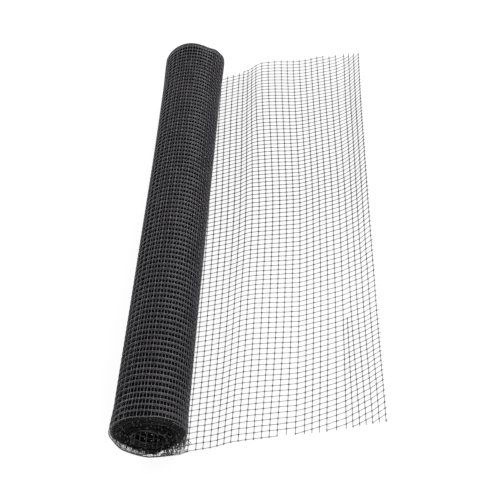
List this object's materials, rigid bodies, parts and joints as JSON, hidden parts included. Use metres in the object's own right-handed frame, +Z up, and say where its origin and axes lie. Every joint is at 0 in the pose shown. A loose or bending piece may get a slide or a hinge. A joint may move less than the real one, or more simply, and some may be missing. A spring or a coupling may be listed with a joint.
{
  "type": "roll of cat fence netting",
  "caption": "Roll of black plastic safety netting with small square mesh, lying on its side with one wavy loose end drawn out flat beside it.",
  "frame": {"origin": "middle of the whole thing's bounding box, on the floor that the roll and its loose end lie on", "axes": "+Y along the roll, from its near end to its far end; +X from the roll towards the free edge of the loose end; +Z up"},
  "size_m": [0.4682, 1.0174, 0.1358],
  "materials": {
    "net": "semi-gloss black moulded strands"
  },
  "bodies": {
    "root": {"netting": "net"}
  },
  "joints": []
}
